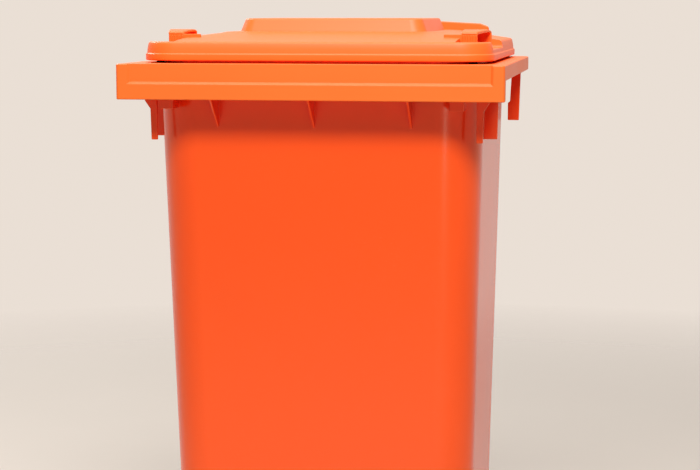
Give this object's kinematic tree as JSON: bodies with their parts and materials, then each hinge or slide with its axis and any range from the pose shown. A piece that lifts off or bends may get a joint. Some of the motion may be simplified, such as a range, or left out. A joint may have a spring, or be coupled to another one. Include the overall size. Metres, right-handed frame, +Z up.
{
  "type": "wheelie bin",
  "caption": "Tall tapered refuse bin with a comb-lift rim, a hinged lid with corner grips, a rear handle bar, and rubber-tyred wheels on a steel axle.",
  "frame": {"origin": "on the floor, in the middle of the bin's outline from above", "axes": "+X to the bin's right seen from the front, +Y towards the handle, +Z up"},
  "size_m": [0.48, 0.55, 0.929],
  "materials": {
    "moulded_orange": "satin",
    "moulded_orange_lid": "satin",
    "black_plastic": "matt",
    "buffer_rubber": "matt",
    "tyre_rubber": "matt",
    "zinc_steel": "zinc plated"
  },
  "bodies": {
    "bin": {"tub": "moulded_orange", "hinge_pin_left": "black_plastic", "hinge_pin_right": "black_plastic", "chip_nest_plug": "black_plastic", "axle": "zinc_steel", "axle_spacer_left": "black_plastic", "axle_spacer_right": "black_plastic"},
    "lid": {"lid": "moulded_orange_lid", "lid_buffer_left": "buffer_rubber", "lid_buffer_right": "buffer_rubber"},
    "wheel_left": {"wheel_hub_left": "black_plastic", "tyre_left": "tyre_rubber", "hub_cap_left": "black_plastic", "latch_spring_left": "zinc_steel"},
    "wheel_right": {"wheel_hub_right": "black_plastic", "tyre_right": "tyre_rubber", "hub_cap_right": "black_plastic", "latch_spring_right": "zinc_steel"},
    "latch_left": {"wheel_latch_left": "zinc_steel"},
    "latch_right": {"wheel_latch_right": "zinc_steel"}
  },
  "joints": [
    {"name": "lid_hinge", "type": "hinge", "parent": "bin", "child": "lid", "pos_m": [0, 0.258, 0.866], "axis": [-1, 0, 0], "range_deg": [0, 270]},
    {"name": "wheel_left_spin", "type": "hinge", "parent": "bin", "child": "wheel_left", "pos_m": [-0.211, 0.165, 0.1], "axis": [1, 0, 0], "continuous": true},
    {"name": "wheel_right_spin", "type": "hinge", "parent": "bin", "child": "wheel_right", "pos_m": [0.211, 0.165, 0.1], "axis": [1, 0, 0], "continuous": true},
    {"name": "latch_left_press", "type": "slide", "parent": "wheel_left", "child": "latch_left", "axis": [0, 0, 1], "range_m": [0, 0.0035], "stiffness_N_per_m": 500, "springref_m": -0.002, "deforming": ["latch_spring_left"]},
    {"name": "latch_right_press", "type": "slide", "parent": "wheel_right", "child": "latch_right", "axis": [0, 0, 1], "range_m": [0, 0.0035], "stiffness_N_per_m": 500, "springref_m": -0.002, "deforming": ["latch_spring_right"]}
  ]
}
